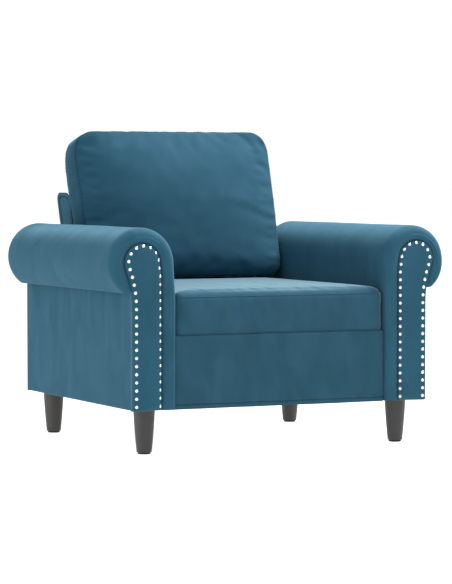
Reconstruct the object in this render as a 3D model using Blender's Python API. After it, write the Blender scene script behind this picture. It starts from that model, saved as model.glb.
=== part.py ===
"""An upholstered armchair with rolled arms, loose cushions and turned legs, built as its separate pieces.

Metres, +Z up. The front faces -Y, and left is -X. The origin is on the floor under the middle of the chair.
"""

import math

import bmesh
import bpy
from mathutils import Vector

# Fits
GAP = 0.0003  # between pieces that touch
WRAP = 0.003  # thickness of a fabric cover with its wadding

# The whole chair
FRONT = -0.386  # face of the arms' front panels
REAR = 0.324  # rear of the arms
UNDERSIDE = 0.111  # of the upholstered body, at the top of the legs

# Arms, in the section across the chair
ARM_INNER = 0.292
ARM_OUTER = 0.408
ROLL_X = 0.379
ROLL_Z = 0.470
ROLL_RADIUS = 0.087
ROLL_TUCK = 0.3975  # height where the roll's cover turns under and meets the side
ROLL_END_ANGLE = math.radians(-60)
ROLL_STEPS = 18
FRONT_ROUND = 0.022  # rounding of the roll's front edge
REAR_ROUND = 0.016
FOAM_THICK = 0.021
BOARD_THICK = 0.018
ARM_RAIL_TOP = 0.165

# Front panel of an arm and its row of nails
FACING_THICK = 0.006
NAIL_INNER = 0.334  # the row's straight run on the seat side
NAIL_OUTER = 0.3986
NAIL_BOTTOM = 0.1213
NAIL_ARC_X = 0.3785
NAIL_ARC_Z = 0.4725
NAIL_ARC_RADIUS = 0.0405
NAILS = 43
NAIL_RADIUS = 0.0052
NAIL_HEIGHT = 0.0022
RIBBON_THICK = 0.0008

# Base
BASE_HALF = 0.2885  # half the width between the arms, less the clearance
DECK = 0.2905  # top of the platform that the seat cushion lies on
BORDER_FRONT = -0.374
BORDER_THICK = 0.012
RAIL_THICK = 0.022
SPRING_XS = (-0.195, -0.065, 0.065, 0.195)
SPRING_WIRE = 0.0019
SPRING_SWING = 0.021
SPRING_WAVES = 6

# Back frame, in the section along the chair
BACK_HALF = 0.2905
BACK_REAR = 0.320
BACK_FRONT = 0.246
BACK_REAR_KNEE = 0.424  # the back leans from these heights up
BACK_FRONT_KNEE = 0.410
BACK_TOP = 0.636
BACK_LEAN = math.radians(18.5)

# Cushions
SEAT_REAR = 0.229
SEAT_SEAM = 0.386
SEAT_CROWN = 0.417
SEAT_HALF = 0.2875
CUSHION_BASE = 0.4095  # underside of the back cushion
CUSHION_TOP = 0.806
CUSHION_LEVELS = (  # height, front seam, rear, half width, and how far the front swells
    (CUSHION_BASE, 0.194, 0.235, 0.270, 0.030),
    (0.418, 0.182, 0.244, 0.281, 0.040),
    (0.500, 0.205, 0.2755, 0.283, 0.052),
    (0.620, 0.237, 0.3150, 0.283, 0.055),
    (0.700, 0.264, 0.3420, 0.283, 0.051),
    (0.745, 0.279, 0.3470, 0.281, 0.041),
    (0.770, 0.284, 0.3360, 0.275, 0.031),
    (0.790, 0.284, 0.3180, 0.262, 0.018),
    (CUSHION_TOP, 0.276, 0.2980, 0.235, 0.000),
)
ZIP_HALF = 0.230

# Legs
LEG_X = 0.3523
LEG_FRONT_Y = -0.3255
LEG_REAR_Y = 0.2723
LEG_TOP_RADIUS = 0.0274
LEG_FOOT_RADIUS = 0.0193
GLIDE_HEIGHT = 0.004


def clear_scene():
    for thing in list(bpy.data.objects):
        bpy.data.objects.remove(thing, do_unlink=True)


def finish_of(name, colour, roughness, metallic=0.0):
    """A Principled material."""
    material = bpy.data.materials.get(name) or bpy.data.materials.new(name)
    material.use_nodes = True
    shader = material.node_tree.nodes["Principled BSDF"]
    shader.inputs["Base Color"].default_value = (*colour, 1.0)
    shader.inputs["Roughness"].default_value = roughness
    shader.inputs["Metallic"].default_value = metallic
    return material


def velvet():
    return finish_of("velvet", (0.036, 0.112, 0.168), 0.85)


def pine():
    return finish_of("pine", (0.62, 0.43, 0.24), 0.6)


def plywood():
    return finish_of("plywood", (0.55, 0.38, 0.22), 0.65)


def foam():
    return finish_of("foam", (0.80, 0.76, 0.60), 0.95)


def zinc():
    return finish_of("zinc", (0.60, 0.61, 0.63), 0.35, 1.0)


# ---- Shapes that several pieces share ----


def add_mesh(name, bm, material):
    bmesh.ops.recalc_face_normals(bm, faces=bm.faces)
    mesh = bpy.data.meshes.new(name)
    bm.to_mesh(mesh)
    bm.free()
    mesh.materials.append(material)
    mesh.shade_smooth()
    mesh.set_sharp_from_angle(angle=math.radians(40))
    thing = bpy.data.objects.new(name, mesh)
    bpy.context.scene.collection.objects.link(thing)
    return thing


def loft(name, rings, material):
    """A closed solid through rings of the same number of points, capped at both ends."""
    bm = bmesh.new()
    loops = [[bm.verts.new(point) for point in ring] for ring in rings]
    for first, second in zip(loops, loops[1:]):
        for i, point in enumerate(first):
            after = (i + 1) % len(first)
            bm.faces.new((point, first[after], second[after], second[i]))
    bm.faces.new(loops[0])
    bm.faces.new(loops[-1])
    return add_mesh(name, bm, material)


def block(name, low, high, material):
    """A square-edged bar or board between two corners."""
    (x0, y0, z0), (x1, y1, z1) = low, high
    ring = [(x0, y0), (x1, y0), (x1, y1), (x0, y1)]
    return loft(name, [[(x, y, z) for x, y in ring] for z in (z0, z1)], material)


def along_y(name, outline, start, end, material):
    """An outline in X and Z, extruded along Y."""
    return loft(name, [[(x, y, z) for x, z in outline] for y in (start, end)], material)


def along_x(name, outline, start, end, material):
    """An outline in Y and Z, extruded along X."""
    return loft(name, [[(x, y, z) for y, z in outline] for x in (start, end)], material)


def turned(name, profile, place, material, sides=20):
    """A lathe-turned piece about Z, from (radius, height) steps, bottom to top."""
    turns = [2 * math.pi * i / sides for i in range(sides)]
    rings = [[(r * math.cos(t), r * math.sin(t), z) for t in turns] for r, z in profile]
    thing = loft(name, rings, material)
    thing.location = place
    return thing


def cut(target, cutter):
    """Takes the cutter's shape out of the target."""
    cutter.hide_render = True
    cutter.display_type = "WIRE"
    difference = target.modifiers.new("cut by " + cutter.name, "BOOLEAN")
    difference.operation = "DIFFERENCE"
    difference.object = cutter


def drill(name, radius, start, end, *targets):
    """Bores one straight round hole through the targets."""
    start, end = Vector(start), Vector(end)
    bore = turned(name, [(radius, 0.0), (radius, (end - start).length)], start, zinc(), 12)
    bore.rotation_mode = "QUATERNION"
    bore.rotation_quaternion = (end - start).to_track_quat("Z", "Y")
    for target in targets:
        cut(target, bore)


def super_ring(half_x, half_y, centre_y, corner, z, steps=5):
    """A rounded rectangle in X and Y at one height."""
    corner = min(corner, half_x * 0.98, half_y * 0.98)
    ring = []
    for quarter, (sx, sy) in enumerate(((1, 1), (-1, 1), (-1, -1), (1, -1))):
        for i in range(steps + 1):
            angle = math.pi / 2 * (quarter + i / steps)
            x = sx * (half_x - corner) + corner * math.cos(angle)
            y = sy * (half_y - corner) + corner * math.sin(angle)
            ring.append((x, centre_y + y, z))
    return ring


# ---- Arms ----


def arm_outline(inset, side_inset, bottom):
    """Section of the right arm in X and Z: up the seat side, over the roll, and down the outer side."""
    radius = ROLL_RADIUS - inset
    points = [(ARM_INNER + inset, bottom)]
    for i in range(ROLL_STEPS + 1):
        angle = math.pi + (ROLL_END_ANGLE - math.pi) * i / ROLL_STEPS
        points.append((ROLL_X + radius * math.cos(angle), ROLL_Z + radius * math.sin(angle)))
    points.append((ARM_OUTER - side_inset, ROLL_TUCK + inset))
    points.append((ARM_OUTER - side_inset, bottom))
    return points


def arm_rings(side, skin, bottom):
    """Rings along an arm's length with rounded ends, a skin's thickness inside its surface."""
    front, rear = FRONT + FACING_THICK + GAP + skin, REAR - skin
    stations = []
    for y, turn, radius in ((front, 1, FRONT_ROUND - skin), (rear, -1, REAR_ROUND - skin)):
        steps = []
        for degrees in (0, 30, 60, 90):
            angle = math.radians(degrees)
            steps.append((y + turn * radius * (1 - math.cos(angle)), radius * (1 - math.sin(angle))))
        stations += steps if turn == 1 else steps[::-1]
    rings = []
    for y, round_in in stations:
        outline = arm_outline(skin + round_in, skin + 0.1 * round_in, bottom)
        rings.append([(side * x, y, z) for x, z in outline])
    return rings


def nail_path():
    """The row of nails on a right arm as a dense line in X and Z, from the inner foot over to the outer foot."""

    def curve(a, b, c, d, steps=8):
        points = []
        for i in range(1, steps):
            t = i / steps
            weights = ((1 - t) ** 3, 3 * t * (1 - t) ** 2, 3 * t * t * (1 - t), t**3)
            points.append(sum((w * Vector(p) for w, p in zip(weights, (a, b, c, d))), Vector((0, 0))))
        return points

    arc = []
    for i in range(25):
        angle = math.radians(178 - (178 + 25) * i / 24)
        x = NAIL_ARC_X + NAIL_ARC_RADIUS * math.cos(angle)
        z = NAIL_ARC_Z + NAIL_ARC_RADIUS * math.sin(angle)
        arc.append(Vector((x, z)))
    shoulder = Vector((NAIL_INNER, NAIL_ARC_Z - 0.036))
    neck = Vector((NAIL_OUTER, NAIL_ARC_Z - 0.1125))
    leaving = (arc[-1] - arc[-2]).normalized()
    path = [Vector((NAIL_INNER, NAIL_BOTTOM)), shoulder]
    path += curve(shoulder, shoulder + Vector((0, 0.012)), arc[0] - Vector((0.001, 0.012)), arc[0])
    path += arc
    path += curve(arc[-1], arc[-1] + 0.030 * leaving, neck + Vector((0, 0.035)), neck)
    return path + [neck, Vector((NAIL_OUTER, NAIL_BOTTOM))]


def evenly(path, count):
    """Points at equal distances along a line, each with the line's direction there."""
    lengths = [0.0]
    for a, b in zip(path, path[1:]):
        lengths.append(lengths[-1] + (b - a).length)
    found = []
    for i in range(count):
        want = lengths[-1] * i / (count - 1)
        k = 1
        while k < len(path) - 1 and lengths[k] < want:
            k += 1
        share = (want - lengths[k - 1]) / (lengths[k] - lengths[k - 1])
        found.append((path[k - 1].lerp(path[k], share), (path[k] - path[k - 1]).normalized()))
    return found


def facing_outline():
    """The front panel's edge: the nail row set outwards, wider on the outer side, square at the foot."""
    edge = []
    for point, direction in evenly(nail_path(), 60):
        outwards = Vector((-direction.y, direction.x))
        margin = 0.0045 + 0.0040 * max(0.0, outwards.x) ** 2
        edge.append(point + margin * outwards)
    foot = UNDERSIDE + GAP
    return [(edge[0].x, foot)] + [tuple(point) for point in edge] + [(edge[-1].x, foot)]


def nail_trim(name, side):
    """Raised nail heads in a row, held together by a narrow strip behind them so that they are one piece."""
    back = FRONT - GAP
    face = back - RIBBON_THICK
    corners = 6
    ahead = (corners - 1, 0)  # the corners where the strip leaves a head
    behind = (corners // 2, corners // 2 - 1)  # and where it comes to the next one
    bm = bmesh.new()

    def rim_of(centre, direction, y):
        across = Vector((-direction.y, direction.x))
        verts = []
        for i in range(corners):
            angle = 2 * math.pi * (i + 0.5) / corners
            spot = centre + NAIL_RADIUS * (math.cos(angle) * direction + math.sin(angle) * across)
            verts.append(bm.verts.new((side * spot.x, y, spot.y)))
        return verts

    spots = evenly(nail_path(), NAILS)
    rims = [[rim_of(*spot, y) for y in (face, back)] for spot in spots]
    for number, ((centre, _), (rim, foot)) in enumerate(zip(spots, rims)):
        apex = bm.verts.new((side * centre.x, face - NAIL_HEIGHT, centre.y))
        bm.faces.new(foot)
        for i in range(corners):
            after = (i + 1) % corners
            bm.faces.new((rim[i], rim[after], apex))
            joined_ahead = i == ahead[0] and number < NAILS - 1
            joined_behind = i == behind[1] and number > 0
            if not joined_ahead and not joined_behind:
                bm.faces.new((rim[i], rim[after], foot[after], foot[i]))
    for here, there in zip(rims, rims[1:]):
        near = [layer[i] for layer in here for i in ahead]
        far = [layer[i] for layer in there for i in behind]
        for i, j in ((0, 1), (2, 3), (0, 2), (1, 3)):
            bm.faces.new((near[i], near[j], far[j], far[i]))
    return add_mesh(name, bm, finish_of("nickel", (0.86, 0.86, 0.88), 0.2, 1.0))


def arm(side, word):
    """One arm: boards and rails, foam, outer panel, cover, front panel and its nails."""
    front = FRONT + FACING_THICK + GAP + WRAP + GAP
    rear = REAR - WRAP - GAP
    board_front = front + BOARD_THICK
    board_rear = rear - BOARD_THICK

    def mirrored(outline):
        return [(side * x, z) for x, z in outline]

    def bar(name, x0, x1, y0, y1, z0, z1, material):
        xs = sorted((side * x0, side * x1))
        return block(name, (xs[0], y0, z0), (xs[1], y1, z1), material)

    board_inset = WRAP + FOAM_THICK + 2 * GAP
    outline = mirrored(arm_outline(board_inset, 0.007, UNDERSIDE + GAP))
    along_y(f"arm_{word}_front_board", outline, front, board_front, plywood())
    along_y(f"arm_{word}_rear_board", outline, board_rear, rear, plywood())

    between = (board_front + GAP, board_rear - GAP)
    rail_inner = ARM_INNER + WRAP + GAP
    bottom = bar(
        f"arm_{word}_bottom_rail", rail_inner, 0.401, *between, UNDERSIDE + GAP, ARM_RAIL_TOP, pine()
    )
    bar(f"arm_{word}_top_rail", ROLL_X - 0.030, ROLL_X + 0.030, *between, 0.478, 0.508, pine())
    panel_x = ARM_OUTER - WRAP - GAP
    hardboard = finish_of("hardboard", (0.30, 0.20, 0.12), 0.75)
    ends = (front + FRONT_ROUND, rear - REAR_ROUND)
    side_panel = (panel_x - 0.003, panel_x, *ends, UNDERSIDE + 0.004, ROLL_TUCK - 0.004)
    bar(f"arm_{word}_outer_panel", *side_panel, hardboard)

    skin = WRAP + GAP
    wrap_rings = []
    for ring in arm_rings(side, skin, ARM_RAIL_TOP + GAP):
        outer = ring[:-2]
        y = ring[0][1]
        inner = arm_outline(WRAP + GAP + FOAM_THICK, 0.0, ARM_RAIL_TOP + GAP)[:-2]
        wrap_rings.append(outer + [(side * x, y, z) for x, z in reversed(inner)])
    loft(f"arm_{word}_foam", wrap_rings, foam())

    cover = loft(f"arm_{word}_cover", arm_rings(side, 0.0, UNDERSIDE), velvet())
    cut(cover, loft(f"arm_{word}_hollow", arm_rings(side, WRAP, UNDERSIDE - 0.02), foam()))
    facing = mirrored(facing_outline())
    along_y(f"arm_{word}_facing", facing, FRONT, FRONT + FACING_THICK, velvet())
    nail_trim(f"arm_{word}_nails", side)
    return cover, bottom


# ---- Base ----


def base():
    """Rails, springs, deck pad, front border and dust cover. It returns the two side rails."""
    border_rear = BORDER_FRONT + BORDER_THICK + GAP
    low, high = UNDERSIDE + 0.003, DECK - BORDER_THICK - GAP
    inside = BASE_HALF - RAIL_THICK - GAP
    rear = BACK_FRONT - GAP
    front_rail_rear = border_rear + RAIL_THICK
    rear_rail_front = rear - RAIL_THICK
    block("base_front_rail", (-inside, border_rear, low), (inside, front_rail_rear, high), pine())
    block("base_rear_rail", (-inside, rear_rail_front, low), (inside, rear, high), pine())
    sides = []
    for side, word in ((-1, "left"), (1, "right")):
        xs = sorted((side * (inside + GAP), side * BASE_HALF))
        corners = ((xs[0], border_rear, low), (xs[1], rear, high - 0.006))
        sides.append(block(f"base_{word}_rail", *corners, pine()))

    top = DECK - GAP
    under = top - BORDER_THICK
    turn = border_rear + 0.045
    section = [(BORDER_FRONT + 0.003, UNDERSIDE), (BORDER_FRONT, UNDERSIDE + 0.008)]
    section += [(BORDER_FRONT, top - 0.008), (BORDER_FRONT + 0.003, top), (turn, top), (turn, under)]
    section += [(border_rear - GAP, under), (border_rear - GAP, UNDERSIDE)]
    along_x("front_border", section, -BACK_HALF, BACK_HALF, velvet())

    pad_low = under + SPRING_WIRE
    block(
        "seat_deck_pad",
        (-BASE_HALF, turn + GAP, pad_low),
        (BASE_HALF, rear, DECK - GAP),
        finish_of("deck_cloth", (0.05, 0.05, 0.055), 0.9),
    )
    block(
        "dust_cover",
        (-BASE_HALF, border_rear, UNDERSIDE - 0.0015),
        (BASE_HALF, BACK_REAR - 0.003, UNDERSIDE - GAP),
        finish_of("dust_cloth", (0.02, 0.02, 0.022), 0.9),
    )
    for number, x in enumerate(SPRING_XS, 1):
        sinuous_spring(f"seat_spring_{number}", x, front_rail_rear + 0.004, rear_rail_front - 0.004, high)
    return sides


def sinuous_spring(name, x, start, end, top):
    """A zigzag of spring wire that runs from the front rail to the rear rail, just under the deck pad."""
    height = top - 2 * SPRING_WIRE
    curve = bpy.data.curves.new(name, "CURVE")
    curve.dimensions = "3D"
    curve.bevel_depth = SPRING_WIRE
    curve.bevel_resolution = 1
    curve.use_fill_caps = True
    steps = 6 * SPRING_WAVES
    spline = curve.splines.new("POLY")
    spline.points.add(steps)
    for i, point in enumerate(spline.points):
        share = i / steps
        swing = SPRING_SWING * math.sin(2 * math.pi * SPRING_WAVES * share)
        sag = 0.010 * math.sin(math.pi * share)
        point.co = (x + swing, start + (end - start) * share, height - sag, 1)
    curve.materials.append(finish_of("spring_steel", (0.35, 0.36, 0.38), 0.4, 1.0))
    thing = bpy.data.objects.new(name, curve)
    bpy.context.scene.collection.objects.link(thing)


# ---- Back frame ----


def back_outline(inset, bottom, top_round=0.012):
    """Section of the back in Y and Z: vertical beside the base, then leaning, with rounded top edges."""
    top = BACK_TOP - inset
    corner = max(top_round - inset, 0.003)
    slope, lean = math.tan(BACK_LEAN), 1 / math.cos(BACK_LEAN)
    rear_top = BACK_REAR + (top - corner - BACK_REAR_KNEE) * slope - inset * lean
    front_top = BACK_FRONT + (top - corner - BACK_FRONT_KNEE) * slope + inset * lean
    points = [(BACK_REAR - inset, bottom), (BACK_REAR - inset, BACK_REAR_KNEE)]
    for centre_y, first, last in ((rear_top - corner, 0, 90), (front_top + corner, 90, 180)):
        for i in range(4):
            angle = math.radians(first + (last - first) * i / 3)
            points.append((centre_y + corner * math.cos(angle), top - corner + corner * math.sin(angle)))
    points += [(BACK_FRONT + inset, BACK_FRONT_KNEE), (BACK_FRONT + inset, bottom)]
    return points


def back():
    """Posts, rails, support panel, foam and cover. It returns the cover and the two posts."""
    low = UNDERSIDE + 0.004
    cover = along_x("back_cover", back_outline(0.0, UNDERSIDE), -BACK_HALF, BACK_HALF, velvet())
    inner_half = BACK_HALF - WRAP
    hollow = along_x("back_hollow", back_outline(WRAP, UNDERSIDE - 0.02), -inner_half, inner_half, foam())
    cut(cover, hollow)

    skin = WRAP + GAP
    foam_thick = 0.018
    slope = math.tan(BACK_LEAN)
    lean = 1 / math.cos(BACK_LEAN)

    def leaning(front_in, rear_in, bottom, top):
        """A strip of the back's section between two depths behind its front face and two heights."""
        points = [(BACK_FRONT + front_in, bottom)]
        if bottom < BACK_FRONT_KNEE:
            points.append((BACK_FRONT + front_in, BACK_FRONT_KNEE))
        for inset in (front_in, rear_in):
            points.append((BACK_FRONT + (top - BACK_FRONT_KNEE) * slope + inset * lean, top))
        if bottom < BACK_FRONT_KNEE:
            points.append((BACK_FRONT + rear_in, BACK_FRONT_KNEE + 0.3 * (rear_in - front_in) * slope))
            points.append((BACK_FRONT + rear_in, bottom))
        else:
            for inset in (rear_in, front_in):
                y = BACK_FRONT + (bottom - BACK_FRONT_KNEE) * slope + inset * lean
                points.append((y, bottom))
            points.pop(0)
        return points

    pad_rear = skin + foam_thick
    pad = leaning(skin, pad_rear, DECK, BACK_TOP - 0.018)
    along_x("back_foam", pad, -inner_half + GAP, inner_half - GAP, foam())
    panel_rear = pad_rear + GAP + 0.004
    panel = leaning(pad_rear + GAP, panel_rear, 0.30, 0.600)
    along_x("back_support_panel", panel, -0.277, 0.277, plywood())

    post_front = panel_rear + GAP
    posts = []
    for side, word in ((-1, "left"), (1, "right")):
        section = leaning(post_front, post_front + 0.030, low, 0.606)
        xs = sorted((side * 0.250, side * 0.278))
        posts.append(along_x(f"back_{word}_post", section, *xs, pine()))
    reach = 0.250 - GAP
    along_x("back_top_rail", leaning(post_front, post_front + 0.022, 0.548, 0.604), -reach, reach, pine())
    low_rail = [(BACK_FRONT + inset, z) for inset, z in (
        (post_front, 0.300), (post_front, 0.356), (post_front + 0.022, 0.356), (post_front + 0.022, 0.300)
    )]
    along_x("back_bottom_rail", low_rail, -reach, reach, pine())
    return cover, posts


# ---- Legs and bolts ----


def legs(bottom_rails):
    """Tapered legs, the bolt that holds each one to the arm above it, and a glide under each."""
    stain = finish_of("dark_lacquer", (0.045, 0.045, 0.050), 0.45)
    head_low = ARM_RAIL_TOP + GAP
    for side, across, rail in ((-1, "left", bottom_rails[0]), (1, "right", bottom_rails[1])):
        for y, along in ((LEG_FRONT_Y, "front"), (LEG_REAR_Y, "rear")):
            x = side * LEG_X
            foot = GLIDE_HEIGHT + GAP
            top = UNDERSIDE - GAP
            profile = [(LEG_FOOT_RADIUS - 0.0015, foot), (LEG_FOOT_RADIUS, foot + 0.002)]
            profile += [(LEG_TOP_RADIUS - 0.0004, top - 0.0015), (LEG_TOP_RADIUS - 0.0015, top)]
            leg = turned(f"leg_{along}_{across}", profile, (x, y, 0), stain, 28)
            hole = f"leg_hole_{along}_{across}"
            drill(hole, 0.0046, (x, y, 0.070), (x, y, head_low + 0.01), leg, rail)
            shank = [(0.0040, 0.0705), (0.0040, head_low), (0.0080, head_low), (0.0080, head_low + 0.005)]
            turned(f"leg_bolt_{along}_{across}", shank, (x, y, 0), zinc(), 12)
            glide = [(0.0150, 0.0), (0.0160, 0.001), (0.0160, GLIDE_HEIGHT)]
            rubber = finish_of("glide_rubber", (0.03, 0.03, 0.03), 0.8)
            turned(f"leg_glide_{along}_{across}", glide, (x, y, 0), rubber, 20)


def arm_bolts(covers, bottom_rails, side_rails, posts, back_cover):
    """Bolts that hold the arms to the base at the front and to the back's posts at the rear."""
    z = 0.138
    inside = BASE_HALF - RAIL_THICK
    for i, (side, word) in enumerate(((-1, "left"), (1, "right"))):
        for y, along, start, bored in (
            (-0.240, "front", inside - GAP, [side_rails[i]]),
            (BACK_FRONT + 0.0425, "rear", 0.250 - GAP, [posts[i], back_cover]),
        ):
            reach = 0.360 - start
            profile = [(0.0080, -0.005), (0.0080, 0.0), (0.0040, 0.0), (0.0040, reach)]
            bolt = turned(f"arm_bolt_{along}_{word}", profile, (side * start, y, z), zinc(), 12)
            bolt.rotation_euler = (0, side * math.pi / 2, 0)
            hole = ((side * (start - 0.001), y, z), (side * 0.362, y, z))
            drill(f"arm_bolt_hole_{along}_{word}", 0.0046, *hole, *bored, covers[i], bottom_rails[i])


# ---- Seat cushion ----


def seat_rings(skin):
    """Rings of the boxed seat cushion, bottom to crown, a skin's thickness inside its surface."""
    centre = (BORDER_FRONT + SEAT_REAR) / 2
    half_y = (SEAT_REAR - BORDER_FRONT) / 2
    rings = []
    for z, inset, corner in (
        (DECK, 0.014, 0.022),
        (DECK + 0.004, 0.004, 0.028),
        (DECK + 0.030, 0.0, 0.030),
        (SEAT_SEAM - 0.030, 0.0, 0.030),
        (SEAT_SEAM, 0.003, 0.028),
        (SEAT_SEAM + 0.010, 0.020, 0.040),
        (SEAT_SEAM + 0.020, 0.065, 0.070),
        (SEAT_SEAM + 0.027, 0.140, 0.110),
        (SEAT_CROWN, 0.220, 0.060),
    ):
        height = min(max(z, DECK + skin), SEAT_CROWN - skin)
        lift = -skin if z > SEAT_SEAM else 0.0
        height = height + lift * (SEAT_CROWN - z) / (SEAT_CROWN - SEAT_SEAM)
        rings.append(
            super_ring(SEAT_HALF - inset - skin, half_y - inset - skin, centre, corner - skin, height)
        )
    return rings


def seat_cushion():
    """Cover with a zip across its rear, its foam core, the zip and the zip's slider."""
    z = 0.338
    cover = loft("seat_cushion_cover", seat_rings(0.0), velvet())
    cut(cover, loft("seat_cushion_hollow", seat_rings(WRAP), foam()))
    slot_low = (-ZIP_HALF - GAP, SEAT_REAR - 0.0045, z - 0.004 - GAP)
    slot_high = (ZIP_HALF + GAP, SEAT_REAR + 0.01, z + 0.004 + GAP)
    cut(cover, block("seat_zip_slot", slot_low, slot_high, foam()))
    loft("seat_cushion_foam", seat_rings(WRAP + GAP + 0.001), foam())
    tape = finish_of("zip_tape", (0.02, 0.06, 0.09), 0.7)
    tape_low = (-ZIP_HALF, SEAT_REAR - WRAP + GAP, z - 0.004)
    block("seat_cushion_zip", tape_low, (ZIP_HALF, SEAT_REAR - GAP, z + 0.004), tape)
    slider_low = (ZIP_HALF - 0.016, SEAT_REAR + GAP, z - 0.0045)
    slider_high = (ZIP_HALF - 0.004, SEAT_REAR + 0.004, z + 0.0045)
    block("seat_zip_slider", slider_low, slider_high, zinc())


# ---- Back cushion ----


def back_cushion_rings(skin):
    """Level rings of the leaning back cushion, a skin's thickness inside its surface."""
    columns = 12
    rings = []
    for z, front, rear, half, crown in CUSHION_LEVELS:
        z = min(max(z, CUSHION_BASE + skin), CUSHION_TOP - skin)
        half -= skin
        shares = [2 * i / columns - 1 for i in range(columns + 1)]
        ring = [(half * s, front + skin - crown * (1 - abs(s) ** 2.6), z) for s in shares]
        ring += [(half * s, rear - skin, z) for s in reversed(shares)]
        rings.append(ring)
    return rings


def back_cushion():
    """Cover with a zip across its underside, its fibre fill, the zip and the zip's slider."""
    y = 0.218
    cover = loft("back_cushion_cover", back_cushion_rings(0.0), velvet())
    cut(cover, loft("back_cushion_hollow", back_cushion_rings(WRAP), foam()))
    slot_low = (-ZIP_HALF - GAP, y - 0.004 - GAP, CUSHION_BASE - 0.01)
    slot_high = (ZIP_HALF + GAP, y + 0.004 + GAP, CUSHION_BASE + 0.0045)
    cut(cover, block("back_zip_slot", slot_low, slot_high, foam()))
    fill = finish_of("fibre_fill", (0.90, 0.90, 0.88), 0.95)
    loft("back_cushion_fill", back_cushion_rings(WRAP + GAP + 0.001), fill)
    tape = finish_of("zip_tape", (0.02, 0.06, 0.09), 0.7)
    tape_low = (-ZIP_HALF, y - 0.004, CUSHION_BASE + GAP)
    block("back_cushion_zip", tape_low, (ZIP_HALF, y + 0.004, CUSHION_BASE + WRAP - GAP), tape)
    slider_low = (ZIP_HALF - 0.016, y - 0.0045, CUSHION_BASE - 0.004)
    slider_high = (ZIP_HALF - 0.004, y + 0.0045, CUSHION_BASE - GAP)
    block("back_zip_slider", slider_low, slider_high, zinc())


clear_scene()
left_cover, left_bottom = arm(-1, "left")
right_cover, right_bottom = arm(1, "right")
base_side_rails = base()
cover_of_back, back_posts = back()
legs((left_bottom, right_bottom))
arm_bolts((left_cover, right_cover), (left_bottom, right_bottom), base_side_rails, back_posts, cover_of_back)
seat_cushion()
back_cushion()
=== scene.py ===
import math

import bmesh
import bpy
import numpy as np
from mathutils import Matrix, Vector, noise


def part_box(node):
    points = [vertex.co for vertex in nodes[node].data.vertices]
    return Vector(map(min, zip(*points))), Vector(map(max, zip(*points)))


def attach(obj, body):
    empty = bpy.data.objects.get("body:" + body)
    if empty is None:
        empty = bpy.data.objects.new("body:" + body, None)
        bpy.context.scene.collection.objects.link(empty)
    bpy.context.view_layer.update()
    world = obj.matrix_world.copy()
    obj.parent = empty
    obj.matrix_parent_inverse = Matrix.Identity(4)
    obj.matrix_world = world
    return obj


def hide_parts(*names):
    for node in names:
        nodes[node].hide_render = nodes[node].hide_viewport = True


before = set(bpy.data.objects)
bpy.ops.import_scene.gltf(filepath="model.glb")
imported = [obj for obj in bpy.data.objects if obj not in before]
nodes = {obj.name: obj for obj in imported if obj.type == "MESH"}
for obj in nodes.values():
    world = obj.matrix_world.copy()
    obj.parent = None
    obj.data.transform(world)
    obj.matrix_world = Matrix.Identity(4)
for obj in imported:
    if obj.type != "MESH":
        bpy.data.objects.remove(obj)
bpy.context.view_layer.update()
CHAIR = "chair"

# ---- Timber frame ----
# Planed pine rails and posts, glued and screwed into an open box, with plywood boards where a shape is sawn
# and thin hardboard under the outside of each arm. None of it shows once the chair is covered.


def linear(code):
    """An sRGB colour in six hex digits, as the linear colour that a shader takes."""
    parts = [int(code[i : i + 2], 16) / 255 for i in (0, 2, 4)]
    return (*[c / 12.92 if c <= 0.04045 else ((c + 0.055) / 1.055) ** 2.4 for c in parts], 1.0)


def node(material, kind, settings):
    """Adds a node. Lower-case keys are its properties, the others its inputs, set to a value or linked."""
    tree = material.node_tree
    made = tree.nodes.new("ShaderNode" + kind)
    for key, value in settings.items():
        if isinstance(key, str) and key[0].islower():
            setattr(made, key, value)
        elif isinstance(value, bpy.types.NodeSocket):
            tree.links.new(value, made.inputs[key])
        else:
            made.inputs[key].default_value = value
    return made


def blank(name):
    """A material with an empty node tree."""
    material = bpy.data.materials.new(name)
    material.use_nodes = True
    material.node_tree.nodes.clear()
    return material


def finished(material, looks):
    """Gives a material its surface."""
    shader = node(material, "BsdfPrincipled", looks)
    node(material, "OutputMaterial", {"Surface": shader.outputs[0]})
    return material


def streaked(name, dark, light, cells, roughness, relief, metallic=0.0):
    """A material whose colour wanders between two shades in streaks, with the same streaks in low relief.
    The cells are how many streaks there are in a metre, along X, Y and Z or the same for all three."""
    material = blank(name)
    place = node(material, "TexCoord", {}).outputs["Object"]
    cells = np.broadcast_to(cells, 3).tolist()
    place = node(material, "Mapping", {"Vector": place, "Scale": cells}).outputs["Vector"]
    streak = node(material, "TexNoise", {"Vector": place, "Scale": 1.0, "Detail": 5.0}).outputs["Fac"]
    share = node(material, "MapRange", {"Value": streak, "From Min": 0.3, "From Max": 0.7}).outputs[0]
    shades = {"data_type": "RGBA", 0: share, 6: linear(dark), 7: linear(light)}
    colour = node(material, "Mix", shades).outputs[2]
    dull = {"Value": streak, "To Min": roughness - 0.08, "To Max": roughness + 0.08}
    dull = node(material, "MapRange", dull).outputs[0]
    bump = node(material, "Bump", {"Height": streak, "Strength": 0.6, "Distance": relief}).outputs[0]
    looks = {"Base Color": colour, "Roughness": dull, "Normal": bump, "Metallic": metallic}
    return finished(material, looks)


def dress(material, *names):
    """Gives CAD nodes a material."""
    for name in names:
        nodes[name].data.materials.clear()
        nodes[name].data.materials.append(material)


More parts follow.
